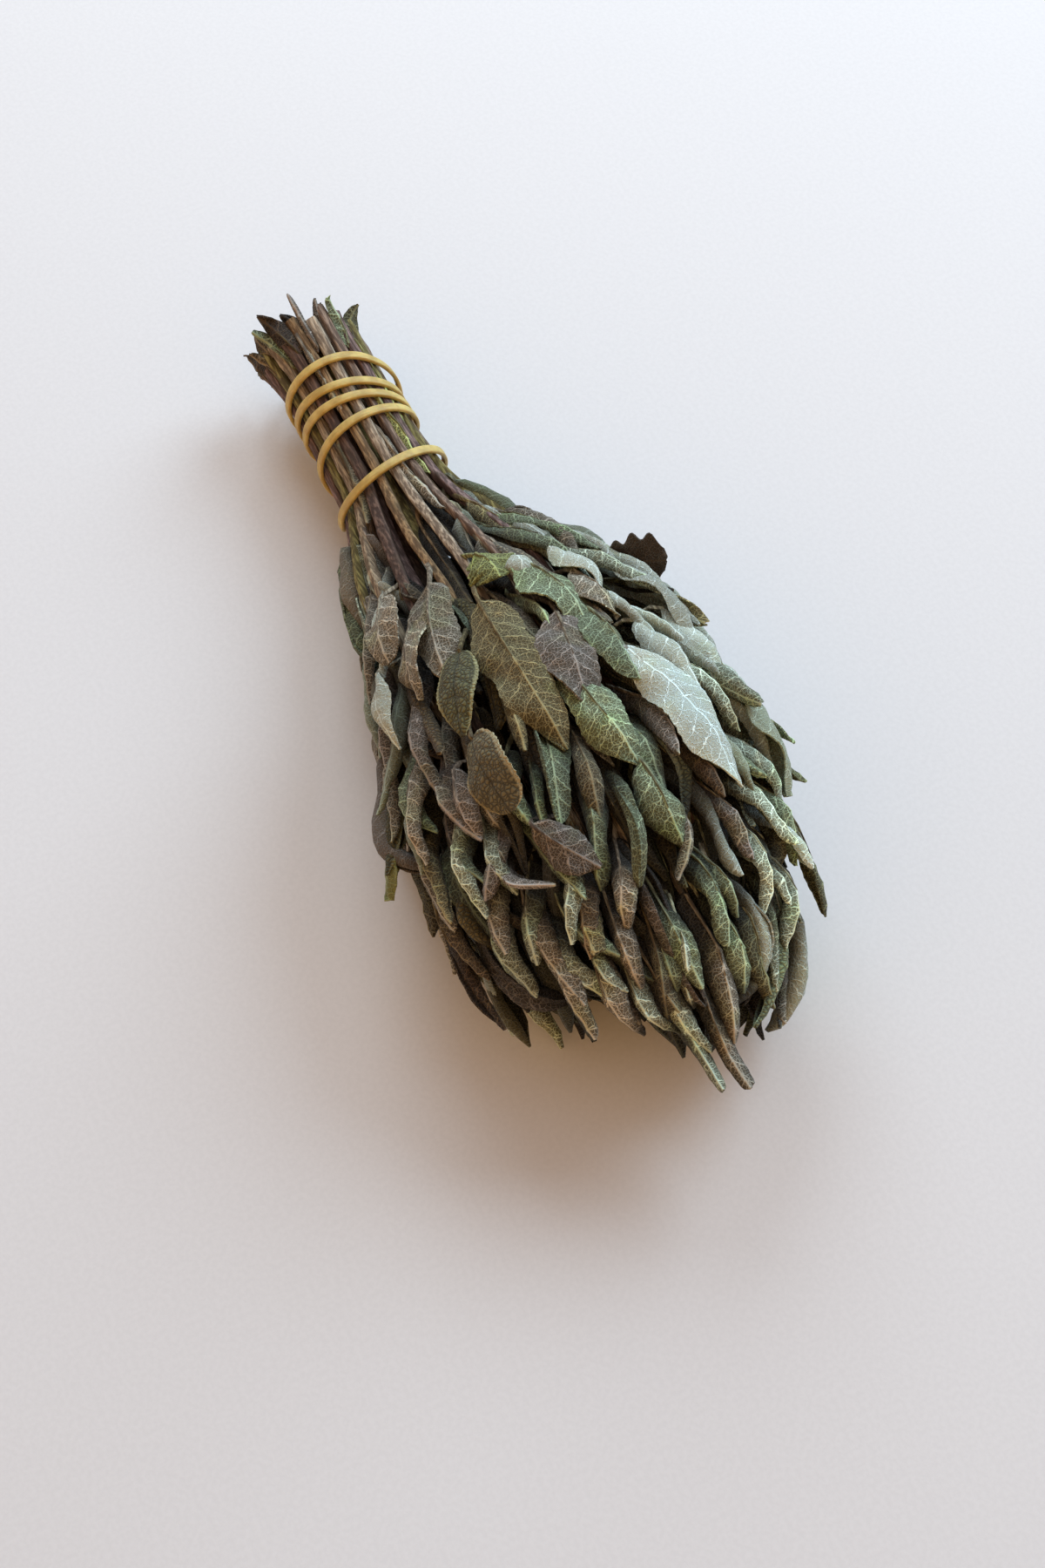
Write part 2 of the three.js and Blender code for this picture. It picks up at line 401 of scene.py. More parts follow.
def sweep(name, made, width, height, rounding, material):
    """The mesh with its paths drawn out into bars, as a plain object."""
    source = add_object(name + "_paths", made)
    modifier = source.modifiers.new("bars", "NODES")
    modifier.node_group = swept_paths
    values = {"Width": width, "Height": height, "Rounding": rounding, "Material": material}
    for item in swept_paths.interface.items_tree:
        if item.in_out == "INPUT" and item.name in values:
            modifier[item.identifier] = values[item.name]
    bpy.context.view_layer.update()
    evaluated = source.evaluated_get(bpy.context.evaluated_depsgraph_get())
    finished = bpy.data.meshes.new_from_object(evaluated)
    bpy.data.objects.remove(source)
    finished.name = name
    finished.shade_smooth()
    finished.set_sharp_from_angle(angle=math.radians(55))
    return add_object(name, finished)


swept_paths = sweep_tree()

# A stem thins towards its tip, thickens at its leaf joints, and stays clear of the table.
for sprig in sprigs:
    number = sprig["number"]
    sprig["growth"] = Growth()
    sprig["leaves"] = []
    sprig["path"] = stem_path(sprig)
    stations = sprig["path"][:, 0]
    taper = 1.1 - 0.45 * (stations - stations[0]) / (stations[-1] - stations[0])
    taper *= 0.85 + 0.35 * vary(number, 9)
    joint = 13 + 9 * vary(number, 5)
    taper *= 1 + 0.18 * np.exp(-(((stations + 7 * vary(number, 3)) % joint - joint / 2) ** 2) / 2)
    turn = sprig["angle"] + 0.8 * (vary(number, 4) - 0.5)
    sprig["path"][:, 2] = above_table(sprig["path"][:, 2], 1.7)
    brown = colour(*STEM_BROWNS[number % len(STEM_BROWNS)])
    sprig["growth"].path(sprig["path"], taper, (0, math.cos(turn), math.sin(turn)), brown)


def start_finish(name):
    """A new material with its Principled shader, and a value to build from."""
    material = bpy.data.materials.new(name)
    material.use_nodes = True
    shader = material.node_tree.nodes["Principled BSDF"]
    return material, shader, Value(material.node_tree, None)


def close_finish(shader, looks, bump, depth):
    """Links the looks to the shader's sockets, with a bump of that depth in millimetres."""
    tree = shader.id_data
    for name, value in looks.items():
        if isinstance(value, Value):
            tree.links.new(value.socket, shader.inputs[name])
        else:
            shader.inputs[name].default_value = value
    heights = {"Height": bump, "Distance": depth * MM, "Strength": 1.0}
    normal = bump.node("ShaderNodeBump", heights)
    tree.links.new(normal.socket, shader.inputs["Normal"])


def bark_finish():
    """Dry bark: streaks along the stem, darker in its grooves, and grey where wear has rubbed it.
    """
    material, shader, start = start_finish("sage_bark")
    place = start.node("ShaderNodeTexCoord", {}, "Object")
    tint = start.attribute("tint", "Color")
    streaks = start.noise(place.scaled((170, 1500, 1500)), 1.0, 4, 0.6)
    blotches = start.noise(place, 160)
    wear_and_painted_fill = streaks.rise(0.42, 0.68)
    surface = wear_and_painted_fill.blend(tint.lit((0.5, 0.46, 0.44, 1)), tint.lit((1.7, 1.7, 1.65, 1)))
    surface = (blotches.rise(0.5, 0.75) * 0.6).blend(surface, (*colour(70, 58, 40), 1))
    looks = {"Base Color": surface, "Roughness": 0.85, "Specular IOR Level": 0.3}
    close_finish(shader, looks, streaks + blotches * 0.5, 0.35)
    return material


bark = bark_finish()

# ---- Leaves ----
# Dried sage leaves are thin, stiff and felted, and most have rolled up as they dried. Raised pale
# veins net the underside; the upper side is pebbled between sunken veins. Each grows from its stem.
LEAF_TINTS = {
    "frost": (179, 187, 179),
    "silver": (172, 178, 166),
    "sage": (140, 146, 126),
    "green": (112, 121, 95),
    "lime": (116, 120, 74),
    "olive": (86, 84, 60),
    "straw": (122, 112, 78),
    "taupe": (124, 117, 103),
    "mauve": (110, 101, 92),
    "oak": (98, 84, 63),
    "bronze": (91, 85, 66),
    "umber": (62, 50, 38),
}
# How bright a skin is along its veins and in the cells between, how high its veins stand, how much
# it is mottled, and its sheen.
LEAF_SKINS = {
    "netted": {"veins": 2.65, "cells": 0.46, "height": 1.7, "mottle": 0.7, "sheen": 0.1},
    # Painted shade darkens the pebbled skin's sunken veins, and painted light brightens its domes.
    "pebbled": {"veins": 0.42, "cells": 1.35, "height": -1.0, "mottle": 0.35, "sheen": 0.1},
    "felted": {"veins": 1.5, "cells": 0.68, "height": 1.5, "mottle": 0.3, "sheen": 0.2},
}
# The fine net of veins: its cells in each millimetre, its width, and how strongly the midrib joins
# it; the margin's brightness and how much of it shows; and how far the cells bulge.
RAISED_NET = {"fine": 1.28, "width": 0.12, "midrib": 0.75, "rim": 2.3, "edge": 0.1, "bulge": -0.2}
SUNKEN_NET = {"fine": 0.92, "width": 0.17, "midrib": 1.0, "rim": 3.6, "edge": 0.9, "bulge": 0.8}
BLADE_THICKNESS = 0.4
VEIN_SPACING = 4.4
ROLLED = 1.9  # the curl, in radians, from which a leaf is a rolled one
# The random draws of placed leaves and of each sprig's own ones are counted on from these.
PLACED_SEED = 100
SPRIG_SEED = 500


def leaf_finish(kind):
    """A leaf's skin, in its own colour with painted light and shade. Its pattern follows the blade:
    each point has its distance aside from the midrib and along it, in millimetres, and a number
    of the leaf's own."""
    look = LEAF_SKINS[kind]
    net = RAISED_NET if look["height"] > 0 else SUNKEN_NET
    material, shader, start = start_finish("sage_leaf_" + kind)
    spot = start.attribute("leaf_mm", "Vector")
    side, along, own = (start.node("ShaderNodeSeparateXYZ", {0: spot}, i) for i in range(3))
    tint = start.attribute("tint", "Color")
    margin = start.attribute("tint", "Alpha")

    across, down = side + own * 37, along + own * 91
    flat = start.node("ShaderNodeCombineXYZ", {0: across, 1: down, 2: 0.0})
    stray = start.noise(flat, 0.45, 2) - 0.5
    bent = {0: across + stray * 1.5, 1: down - stray * 1.5, 2: 0.0}
    bent = start.node("ShaderNodeCombineXYZ", bent)

    def web(scale, thin, thick):
        """A net of veins, and the distance from it."""
        gap = start.node(
            "ShaderNodeTexVoronoi",
            {"Vector": bent, "Scale": scale, "Randomness": 0.85},
            "Distance",
            voronoi_dimensions="2D",
            feature="DISTANCE_TO_EDGE",
        )
        return 1 - gap.rise(thin, thick), gap

    fine, fine_gap = web(net["fine"], 0.02, net["width"])
    coarse, _ = web(0.38, 0.01, 0.05)
    slant = (along - abs(side) * 0.9 + side * side * 0.03 + stray * 2.5) / VEIN_SPACING
    lateral = 1 - slant.math("PINGPONG", slant, 0.5).rise(0.015, 0.06)
    midrib = (1 - abs(side).rise(0.1, 0.42)) * net["midrib"]
    veins = fine.math("MAXIMUM", fine * 0.85, coarse * 0.8)
    veins = veins.math("MAXIMUM", veins, lateral * 0.85)
    veins = veins.math("MAXIMUM", veins, midrib)

    blotches = start.noise(flat, 0.12, 4, 0.6)
    greener = start.noise(flat, 0.085, 2)
    specks = start.noise(flat, 2.2, 3, 0.7)
    turned = tint.lit((0.97, 1.04, 0.78, 1))
    rusted = tint.lit((0.95, 0.8, 0.64, 1))
    skin = (greener.rise(0.5, 0.62) * look["mottle"]).blend(tint, turned)
    skin = (blotches.rise(0.5, 0.64) * look["mottle"]).blend(skin, rusted)
    # On the pebbled skin these paint shade into the sunken veins and light onto the domes between.
    cells, bright = look["cells"], look["veins"]
    between = skin.lit((cells, cells * 0.98, cells * 0.9, 1))
    on_vein = skin.lit((bright, bright * 1.05, bright * 1.12, 1))
    surface = veins.blend(between, on_vein)
    surface = (specks.rise(0.5, 0.8) * 0.3).blend(surface, between)
    pale_edge = tint.lit((net["rim"], net["rim"], net["rim"], 1))
    surface = (margin.rise(0.8, 0.92) * net["edge"]).blend(surface, pale_edge)
    relief = veins * look["height"] + fine_gap.rise(0.0, 0.45) * net["bulge"] + specks * 0.2
    looks = {
        "Base Color": surface,
        "Roughness": 0.82,
        "Specular IOR Level": 0.25,
        "Sheen Weight": look["sheen"],
        "Sheen Roughness": 0.5,
    }
    close_finish(shader, looks, relief, 0.25)
    return material


leaf_skins = {kind: leaf_finish(kind) for kind in LEAF_SKINS}


def leaf_route(stops, count):
    """Evenly counted points on a smooth curve through stops of (station, share, degrees)."""
    stops = np.array(stops, float)
    angle = np.radians(stops[:, 2])
    flat = np.stack([stops[:, 0], stops[:, 1] * np.cos(angle), stops[:, 1] * np.sin(angle)], -1)
    steps = np.linalg.norm(np.diff(in_bunch(*flat.T), axis=0), axis=1)
    reached = np.concatenate([[0], np.cumsum(steps)])
    walked = smooth(np.linspace(0, reached[-1], count), reached, flat)
    return in_bunch(*np.moveaxis(walked, -1, 0))


def blade_frame(middle, turn):
    """At each point of a midrib: the ways forward, outwards and aside, turned about the midrib."""
    forward = unit(np.gradient(middle, axis=0))
    outward = middle - in_bunch(middle[:, 0], 0.0, 0.0)
    outward = unit(outward - np.sum(outward * forward, -1, keepdims=True) * forward)
    aside = np.cross(outward, forward)
    facing = np.cos(turn) * outward + np.sin(turn) * aside
    return forward, facing, np.cross(facing, forward)


def curl_across(width, bend):
    """Rolls strips of the given widths by the angles bend: how far each point goes aside and in."""
    step = np.diff(width, axis=1)
    angle = (bend[:, 1:] + bend[:, :-1]) / 2
    nothing = np.zeros((len(width), 1))
    aside = np.concatenate([nothing, np.cumsum(np.cos(angle) * step, 1)], 1)
    inward = np.concatenate([nothing, np.cumsum(np.sin(angle) * step, 1)], 1)
    centre = width.shape[1] // 2
    return aside - aside[:, centre : centre + 1], inward - inward[:, centre : centre + 1]


def bent_midrib(leaf, v):
    """The midrib at each share v of its length, and there its ways forward, outwards and aside and
    its length so far. Roll and twist turn the blade about it; hook and sway bend its tip."""
    turn = (leaf.get("roll", 0) + leaf["twist"] * (v - 0.4))[:, None]
    middle = leaf_route(leaf["stops"], len(v))
    forward, facing, aside = blade_frame(middle, turn)
    hook = (leaf["hook"] * ease(v, 0.5, 1.0))[:, None]
    sway = (leaf["sway"] * (v - 0.3))[:, None]
    forward = unit(forward * np.cos(hook) - facing * np.sin(hook))
    forward = unit(forward * np.cos(sway) + aside * np.sin(sway))
    step = np.linalg.norm(np.diff(middle, axis=0), axis=1)
    length = np.concatenate([[0], np.cumsum(step)])
    middle = middle[0] + np.concatenate([[[0, 0, 0]], np.cumsum(forward[1:] * step[:, None], 0)])
    forward = unit(np.gradient(middle, axis=0))
    facing = unit(facing - np.sum(facing * forward, -1, keepdims=True) * forward)
    return middle, forward, facing, np.cross(facing, forward), length


def blade_outline(leaf, v, length, spread, rolled, rng):
    """How far aside from the midrib each point of the flat blade lies. A rolled leaf ends bluntly,
    teeth notch the margins by a share of the width, and drying makes them uneven."""
    blunt, sharp = leaf["shape"]
    shape = v**blunt * (1 - v) ** sharp
    rounded = np.sqrt(np.clip((1 - v) / 0.09, 0, 1))
    least = 0.1 + rng.uniform(0.15, 0.5) * rolled * ease(v, 0.7, 1.0) * rounded
    half = leaf["half"] * np.maximum(shape / shape.max(), least)
    pitch, notch = leaf.get("teeth", (2.6, 0.03))
    half = half * (1 + notch * np.sin(length * 2 * np.pi / pitch + rng.uniform(0, 6)))
    uneven = 0.04 if leaf["kind"] == "pebbled" else 0.13
    wobble = [uneven * np.sin(length / rng.uniform(2.6, 4.4) + rng.uniform(0, 6)) for _ in range(2)]
    half = half[:, None] * (1 + np.where(spread < 0, wobble[0][:, None], wobble[1][:, None]))
    return half * spread


def blade_bend(leaf, v, length, spread, rolled, rng):
    """The angle by which each point of the blade has rolled under: most at the margins."""
    curl = np.where(spread < 0, leaf["curl"][0], leaf["curl"][1]) * np.sign(spread)
    fold = np.sign(curl) * (rng.uniform(0.1, 0.7) if rolled else 0.12)
    opening = 0.75 + 0.25 * ease(v, 0.0, 0.25) + 0.1 * np.sin(length / 5 + rng.uniform(0, 6))
    bend = fold + (curl - fold) * np.abs(spread) ** leaf["rolled_at"]
    return bend[None, :] * opening[:, None]


def blade_relief(leaf, v, length, across, spread, own, rolled, rng):
    """How far each point stands out of the smooth blade: limp margins, creases, the skin pillowed
    between side veins, and the midrib, which stands out on the underside only."""
    outside = 1 if leaf["kind"] == "netted" else -1
    limp = 0.4 if rolled or leaf["kind"] == "pebbled" else 1.3
    wave = limp * np.sin(length / rng.uniform(2.4, 4.4) + rng.uniform(0, 6))[:, None] * spread**2
    wave = wave * np.where(spread < 0, 1.0, rng.uniform(-0.9, 0.9)) * ease(v, 0.0, 0.3)[:, None]
    crumple = np.sin(length / 2.3 + rng.uniform(0, 6))[:, None] * np.cos(across / 1.6 + own)
    ribs = np.abs(np.sin(np.pi * (length[:, None] - 0.9 * np.abs(across)) / VEIN_SPACING))
    pillow = outside * -0.36 * ribs**0.7 * (1 - np.abs(spread) ** 3)
    rib = outside * 0.3 * np.exp(-((across / 0.7) ** 2))
    return wave + 0.35 * crumple + pillow + rib


def colours_with_painted_light(leaf, place, v, spread, own, rolled, rng):
    """The blade's colour as it dried, with painted light, and each point's colour as it is seen,
    with painted shade and its share of the way to the margin. Painted light makes leaves on the +Y
    flank paler, most of all near the tips; painted shade darkens what lies deep in the bunch or is
    turned in."""
    tint = np.array(colour(*LEAF_TINTS[leaf["tint"]])) * rng.uniform(0.9, 1.41)
    station, y = place[..., 0], place[..., 1]
    # Painted light: leaves on the lit +Y flank are paler, and those near its tips paler still.
    pale = ease(y, -10, 25) * ease(station, 100, 170)
    wear_and_painted_fill = ease(y, 0, 25) * ease(station, 165, 190)
    tint_with_painted_light = tint * (1 + pale[..., None] * np.array([0.24, 0.31, 0.34]))
    tint_with_painted_light = tint_with_painted_light * (1 + 0.4 * wear_and_painted_fill[..., None])
    # Painted shade: leaves deep in the bunch, and the turned-in margins of rolled ones, are darker.
    dark = 0.64 + 0.22 * ease(station, 135, 175)
    painted_turned_in_shade = 0.4 * rolled * ease(np.abs(spread), 0.3, 0.9)
    depth = (ease(share_of_radius(place), dark, 1.05) * (1 - painted_turned_in_shade))[..., None]
    shade = tint_with_painted_light * (1 + 0.15 * np.sin(v * 3 + own))[:, None, None] * (0.1 + 1.02 * depth)
    margin = np.broadcast_to(np.abs(spread), place.shape[:2])[..., None]
    return tint_with_painted_light[0, 0], np.concatenate([shade, margin], -1)


def grow_leaf(sprig, leaf, rng):
    """A leaf and its stalk on a sprig. The leaf says where its blade runs, its half width, and how
    it has dried: curl is how far each margin has rolled under, in radians."""
    rows, columns = leaf["grid"]
    v = np.linspace(0, 1, rows)
    spread = np.linspace(-1, 1, columns)
    spread = np.sign(spread) * np.abs(spread) ** 0.85
    rolled = max(map(abs, leaf["curl"])) > ROLLED
    middle, forward, facing, aside, length = bent_midrib(leaf, v)
    across = blade_outline(leaf, v, length, spread, rolled, rng)
    sideways, inward = curl_across(across, blade_bend(leaf, v, length, spread, rolled, rng))
    own = rng.uniform(0, 10)
    lift = blade_relief(leaf, v, length, across, spread, own, rolled, rng) - inward
    place = middle[:, None] + sideways[..., None] * aside[:, None]
    place = place + lift[..., None] * facing[:, None]

    normal = unit(np.cross(np.gradient(place, axis=0), np.gradient(place, axis=1)))
    over = place + normal * BLADE_THICKNESS / 2
    under = place - normal * BLADE_THICKNESS / 2
    for skin in (over, under):
        skin[..., 2] = above_table(skin[..., 2], 0.1)
    along = np.repeat(length[:, None], columns, 1)
    leaf_mm = np.stack([across, along, np.full_like(across, own)], -1)
    # The blade's base colour with its painted light, and each point's colour with painted shade.
    dried, tints = colours_with_painted_light(leaf, place, v, spread, own, rolled, rng)
    kind = 1 + list(leaf_skins).index(leaf["kind"])
    sprig["growth"].blade(over, under, leaf_mm, tints, kind)

    path = sprig["path"]
    foot = path[np.argmin(np.abs(path[:, 0] - (middle[0, 0] - leaf.get("stalk", 6))))]
    walk = np.linspace(0, 1, 6)[:, None]
    reach = np.linalg.norm(middle[0] - foot)
    leaving = foot + np.array([0.4 * reach, 0, 0])
    meeting = middle[0] - 0.4 * reach * forward[0]
    stalk = (1 - walk) ** 3 * foot + 3 * walk * (1 - walk) ** 2 * leaving
    stalk += 3 * walk**2 * (1 - walk) * meeting + walk**3 * middle[0]
    along_rib = slice(1, rows * 2 // 3, 5)
    outside = 1 if leaf["kind"] == "netted" else -1
    rib_height = outside * (BLADE_THICKNESS / 2 + 0.1) + lift[:, columns // 2, None]
    stalk = np.concatenate([stalk, (middle + rib_height * facing)[along_rib]])
    stalk[:, 2] = above_table(stalk[:, 2], 0.8)
    count = len(stalk)
    thick = np.interp(np.arange(count), [0, 5, count - 1], [1.5, 0.9, 0.2]) / STEM_THICKNESS
    brown = np.array(colour(*rng.choice(STEM_BROWNS)))
    # The stalk takes the colour of its blade's base, painted light included.
    sprig["growth"].path(stalk, thick, facing[0], 0.2 * brown + 0.8 * dried)


# The leaves that lie on top of the head: the station and the degrees where each blade starts and
# those where it ends, its half width, the curl of its -Y margin and of its +Y margin, its tint,
# and what sets it apart.
TOP_LEAVES = [
    (110, 96, 154, 97, 7.2, 0.5, 0.9, "straw", {"stalk": 16, "roll": -0.1, "lift": 0.05}),
    (121, 77, 146, 86, 6.8, 0.7, 0.4, "mauve", {"stalk": 20, "shape": (0.45, 0.5), "lift": 0.04}),
    (100, 75, 128, 68, 7.2, 0.4, 0.9, "green", {"sway": -0.3}),
    (121, 66, 145, 68, 6.4, 0.8, 1.2, "green", {}),
    (99, 58, 118, 56, 5, 1.3, 0.9, "silver", {"hook": 0.4}),
    (109, 60, 127, 62, 4.6, 1.6, 1.2, "taupe", {}),
    (115, 52, 143, 40, 5.4, 2.3, 1.7, "silver", {"roll": -0.3}),
    (136, 65, 175, 54, 7, 0.9, 0.4, "frost",
     {"roll": -0.3, "lift": 0.05, "shape": (0.65, 0.65), "hook": 0.1}),
    (136, 28, 175, 14, 7, 1.4, 1.7, "sage", {"kind": "felted"}),
    (104, 38, 138, 28, 6.2, 1.9, 1.7, "silver", {}),
    (86, 30, 118, 14, 6, 2.1, 2, "silver", {}),
    (142, 118, 162, 116, 6.8, 0.3, 0.3, "bronze",
     {"kind": "pebbled", "stalk": 24, "shape": (0.45, 0.45), "teeth": (1.5, 0.03),
      "roll": -0.25, "lift": 0.08, "twist": 0.2, "sway": -0.1, "hook": 0.2}),
    (120, 110, 140, 121, 5.2, 0.4, 0.4, "olive",
     {"kind": "pebbled", "stalk": 16, "teeth": (1.5, 0.03), "lift": 0.05, "twist": -0.2,
      "sway": 0.1, "hook": 0.3}),
    (97, 109, 124, 120, 6.2, 0.5, 0.9, "taupe", {"sway": 0.2, "stalk": 14}),
    (92, 133, 110, 137, 5.4, 0.5, 0.5, "taupe", {"shape": (0.4, 0.4)}),
    (104, 123, 124, 132, 6.4, 0.6, 0.7, "taupe", {"roll": -0.3}),
    (110, 148, 131, 145, 3.4, 1.3, 1.3, "silver", {}),
    (95, 86, 105, 84, 5.4, 1, 0.8, "lime", {"shape": (0.3, 0.3), "teeth": (2.2, 0.15)}),
    (113, 79, 124, 81, 5.2, 3, 3, "green", {}),
    (99, 74, 108, 79, 4, 1.6, 1.2, "silver", {"hook": 0.9}),
    (147, 97, 168, 107, 6.6, -2.6, 0.8, "green", {}),
    (136, 84, 164, 81, 6.6, 1.6, 0.8, "green", {}),
    (160, 93, 184, 106, 7, 2.6, 1.8, "green", {"sway": -0.2}),
    (167, 86, 187, 93, 8.4, -4.1, -3.9, "green", {"shape": (0.3, 0.35)}),
    (163, 78, 183, 79, 6.8, 1.9, 1.8, "green", {"hook": 0.4}),
    (172, 69, 190, 79, 7.6, 3.2, 3, "taupe", {"sway": -0.5}),
    (170, 58, 189, 54, 7.4, 3, 3.3, "mauve", {"hook": 0.3}),
    (167, 44, 188, 36, 7.2, 3, 3, "sage", {}),
    (189, 42, 198, 35, 5.4, 3, 3, "sage", {"hook": 0.4}),
    (186, 66, 199, 66, 5.8, 3.1, 3.1, "green", {}),
    (139, 141, 163, 133, 5.6, 2.2, 1.8, "mauve", {"sway": 0.3}),
    (145, 129, 162, 130, 5, 1.6, 2.3, "mauve", {}),
    (149, 123, 164, 127, 4.8, 2.6, 1.6, "taupe", {"hook": 1.4}),
    (166, 114, 181, 103, 5.8, 1.5, 1.8, "mauve",
     {"hook": 0.5, "lift": 0.07, "twist": 0.2, "rolled_at": 2}),
    (151, 117, 165, 116, 6.2, 3.1, 3, "green", {}),
    (154, 108, 169, 112, 6, 3, 3.1, "green", {}),
    (168, 138, 180, 117, 6.6, 3, 2.6, "mauve", {"lift": 0.05, "hook": 0.2}),
    (162, 126, 174, 136, 6, 2.6, 2.6, "mauve", {}),
    (159, 145, 170, 135, 4.8, 3.2, 2.8, "green", {"hook": 0.5}),
    (180, 125, 197, 115, 6.8, 3.2, 2.7, "green", {"hook": 0.3}),
    (184, 116, 194, 118, 7, 3, 3, "straw", {"shape": (0.3, 0.2), "lift": 0.03}),
    (192, 96, 211, 108, 9.6, 2.8, 3, "bronze", {"hook": 0.3}),
    (189, 90, 208, 91, 7.8, 3.2, 3.2, "green", {"sway": 0.15}),
    (195, 77, 219, 75, 9.2, 2.6, 3.1, "taupe", {"shape": (0.4, 0.5)}),
    (191, 57, 212, 45, 7.4, 3, 3, "silver", {}),
    (175, 138, 200, 131, 9, 3.1, 2.7, "taupe", {"sway": -0.2}),
    (171, 151, 194, 147, 7.6, 2.7, 2.7, "sage", {}),
    (168, 140, 184, 144, 7, 2.7, 3, "taupe", {}),
    (175, 131, 190, 135, 7, 2.8, 2.8, "sage", {"roll": 0.3}),
    (197, 98, 207, 99, 6.6, 3.4, 3.4, "green", {"hook": 0.6}),
    (202, 94, 213, 98, 6.8, 3.2, 3.2, "sage", {"hook": 1.2}),
    (199, 107, 215, 102, 7, 2.6, 2.8, "bronze", {"hook": 0.6}),
    (203, 101, 219, 110, 6.4, 2.4, 2.8, "sage", {"sway": 0.5}),
    (208, 86, 228, 91, 6, 3, 3, "taupe", {"hook": 0.2, "shape": (0.3, 0.2)}),
    (206, 102, 226, 108, 8.6, 2.2, 2.6, "sage", {"hook": 0, "shape": (0.35, 0.3)}),
    (150, 88, 172, 99, 6.8, 2.8, 2.6, "bronze", {}),
    (157, 60, 176, 60, 6.6, 2.8, 2.6, "umber", {}),
    (178, 112, 194, 120, 6.6, 2.6, 2.8, "oak", {}),
    (184, 72, 203, 70, 7, 2.8, 2.6, "green", {}),
    (188, 121, 203, 123, 6.6, 2.8, 2.6, "sage", {"hook": 0.5}),
    (196, 66, 212, 66, 7, 2.6, 2.8, "green", {}),
    (152, 141, 176, 146, 6.6, 2.6, 2.6, "sage", {}),
    (133, 150, 158, 152, 6.4, 2.4, 2.6, "taupe", {}),
    (120, 140, 146, 139, 6.2, 2.6, 2.2, "mauve", {}),
    (130, 103, 150, 105, 6.4, 2.6, 2.6, "straw", {}),
    (147, 62, 166, 68, 6.6, 2.8, 2.4, "mauve", {}),
    (176, 26, 192, 24, 6.6, 2.6, 2.6, "silver", {}),
    (158, 32, 180, 28, 6.8, 2.4, 2.8, "sage", {}),
    (128, 52, 150, 48, 6.2, 1.8, 2.2, "silver", {}),
    (124, 33, 150, 30, 6.4, 1.6, 2, "silver", {}),
    (92, 46, 122, 36, 5.4, 2.4, 2.4, "sage", {}),
    (97, 28, 130, 18, 5.8, 2.4, 2.4, "silver", {}),
    (80, 38, 108, 24, 5, 2.4, 2.4, "silver", {}),
    (108, 22, 140, 8, 5.8, 2.4, 2.2, "silver", {}),
    (124, 18, 156, 6, 6, 2.6, 2.4, "silver", {}),
    (76, 52, 100, 38, 4.8, 2.2, 2.4, "green", {}),
    (84, 62, 108, 52, 5, 2.4, 2.4, "green", {}),
    (142, 30, 168, 20, 6, 2.4, 2.4, "silver", {}),
    (152, 52, 176, 42, 6, 2.4, 2.6, "sage", {"kind": "felted"}),
    (82, 150, 112, 158, 5, 2.4, 2.4, "taupe", {"lift": -0.08}),
    (90, 166, 124, 168, 5.4, 2.4, 2.4, "sage", {"kind": "felted", "lift": -0.08}),
    (102, 158, 136, 160, 5.4, 2.4, 2.6, "mauve", {"lift": -0.08}),
    (114, 172, 146, 170, 5.6, 2.4, 2.4, "taupe", {"lift": -0.08}),
    (128, 162, 158, 160, 5.6, 2.4, 2.4, "sage", {"kind": "felted", "lift": -0.08}),
    (142, 170, 172, 166, 6, 2.4, 2.4, "taupe", {"lift": -0.08}),
    (84, 138, 110, 146, 4.6, 2, 2.2, "silver", {"lift": -0.05}),
    (192, 122, 212, 130, 6.8, 2.6, 2.6, "taupe", {"lift": 0.05, "hook": 0.6}),
    (187, 132, 206, 141, 6.4, 2.8, 2.6, "taupe", {"lift": 0.05}),
    (198, 114, 215, 120, 6.4, 2.8, 2.8, "sage", {"lift": 0.03, "hook": 0.8}),
    (72, 70, 96, 66, 5.6, 2, 2.2, "oak", {"lift": -0.3}),
    (76, 84, 102, 80, 5.6, 2, 2.2, "umber", {"lift": -0.3}),
    (80, 97, 106, 98, 5.6, 2, 2.2, "oak", {"lift": -0.3}),
    (76, 60, 100, 56, 5.6, 2, 2.2, "olive", {"lift": -0.25}),
    (110, 56, 134, 52, 5, 2.2, 2.4, "silver", {}),
    (118, 42, 148, 34, 5.6, 2.4, 2.2, "silver", {"lift": -0.02}),
    (134, 44, 160, 36, 5.6, 2.4, 2.4, "sage", {}),
    (196, 50, 216, 60, 7, 3.2, 3.2, "olive", {"sway": 1.1}),
    (180, 95, 193, 108, 6.2, 2.8, 3, "taupe", {"lift": 0.06, "hook": 0.9}),
    (194, 84, 207, 97, 6.2, 3, 2.8, "sage", {"lift": 0.05, "hook": 0.8}),
    (176, 108, 189, 125, 6, 2.8, 2.8, "sage", {"lift": 0.05, "hook": 0.5}),
    (158, 134, 176, 128, 6, 2.4, 2.8, "sage", {}),
    (183, 138, 203, 126, 6.6, 2.6, 2.4, "sage", {"hook": 0.3}),
    (186, 108, 204, 112, 6.8, 2.4, 2.6, "taupe", {}),
    (178, 48, 200, 46, 6.4, 2.4, 2.6, "sage", {}),
    (186, 30, 206, 30, 6.4, 2.6, 2.4, "sage", {"hook": 0.3}),
    (168, 34, 190, 20, 6.2, 2.4, 2.4, "green", {}),
]

